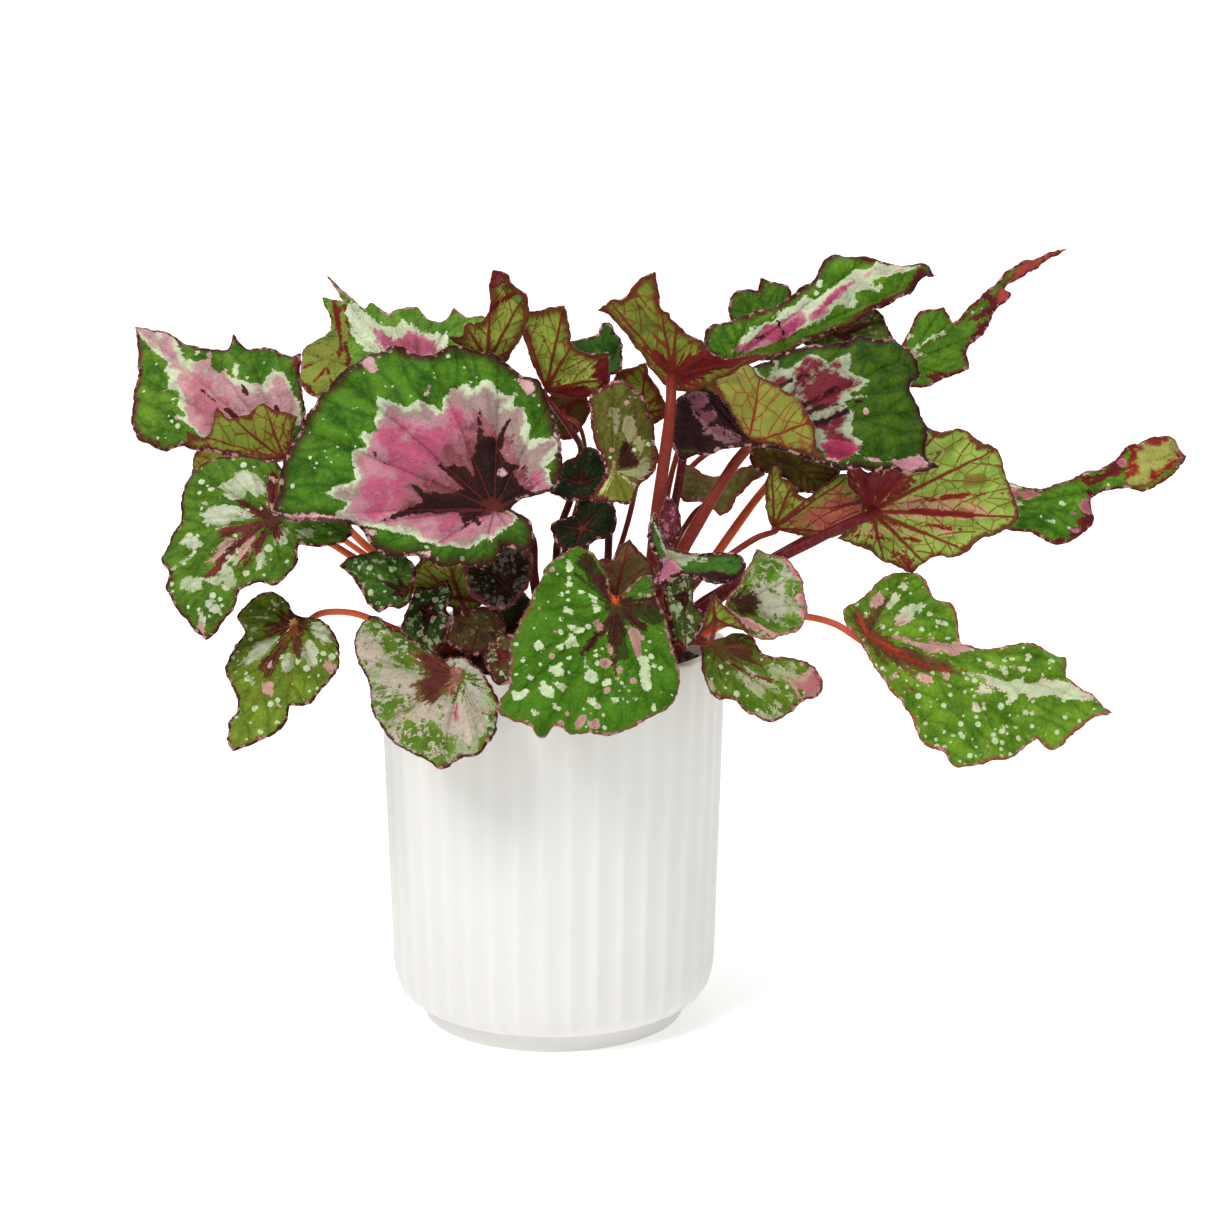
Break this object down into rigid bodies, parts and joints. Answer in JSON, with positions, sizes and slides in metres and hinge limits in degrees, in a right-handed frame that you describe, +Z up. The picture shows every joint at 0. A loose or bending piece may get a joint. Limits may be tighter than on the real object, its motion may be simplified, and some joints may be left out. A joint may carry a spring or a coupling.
{
  "type": "potted rex begonia",
  "caption": "Potted Alaska Creek rex begonia: lobed, patterned leaves on red stalks, rising from soil in a fluted white pot.",
  "frame": {"origin": "centre of the pot's flat underside, on the surface it stands on", "axes": "+Z up along the pot's axis; the leaves' display side faces -Y; +X is to the right as seen from there"},
  "size_m": [0.4656, 0.1856, 0.3327],
  "materials": {
    "pot_ceramic": "matte",
    "potting_soil": "matte",
    "stalks": "satin",
    "leaf_pink": "satin",
    "leaf_green": "satin",
    "leaf_underside": "satin",
    "leaf_silver": "satin",
    "leaf_dark": "satin",
    "leaf_maroon": "satin",
    "leaf_brown": "satin",
    "leaf_red_underside": "satin"
  },
  "bodies": {
    "root": {"pot": "pot_ceramic", "soil": "potting_soil", "crown_left": "stalks", "crown_middle": "stalks", "crown_right": "stalks", "leaf_big_pink": "leaf_pink", "leaf_far_left": "leaf_green", "leaf_left_scrap": "leaf_underside", "leaf_left_middle": "leaf_silver", "leaf_lower_left": "leaf_silver", "leaf_small_left": "leaf_dark", "leaf_dark_spotted": "leaf_dark", "leaf_pot_left": "leaf_silver", "leaf_top_left": "leaf_green", "leaf_v_left": "leaf_underside", "leaf_v_right": "leaf_underside", "leaf_narrow_green": "leaf_green", "leaf_dark_upper": "leaf_dark", "leaf_dark_round": "leaf_dark", "leaf_olive_silver": "leaf_underside", "leaf_olive_rim": "leaf_underside", "leaf_olive_under": "leaf_underside", "leaf_star_fold": "leaf_silver", "leaf_young_upright": "leaf_maroon", "leaf_silver_dark": "leaf_dark", "leaf_brown_small": "leaf_brown", "leaf_dark_back": "leaf_dark", "leaf_olive_small": "leaf_underside", "leaf_marbled_small": "leaf_dark", "leaf_pot_front": "leaf_green", "leaf_front_under": "leaf_brown", "leaf_right_marbled": "leaf_silver", "leaf_right_front": "leaf_brown", "leaf_pink_edge": "leaf_silver", "leaf_inverted_v": "leaf_underside", "leaf_lower_right": "leaf_green", "leaf_left_under": "leaf_underside", "leaf_right_under": "leaf_underside", "leaf_far_right": "leaf_pink", "leaf_red_tip": "leaf_green", "leaf_right_star": "leaf_maroon", "leaf_top_right": "leaf_green", "leaf_behind_top": "leaf_green", "leaf_centre_under": "leaf_red_underside", "leaf_behind_star": "leaf_green", "leaf_behind_under": "leaf_brown", "leaf_pale_behind": "leaf_underside"}
  },
  "joints": []
}
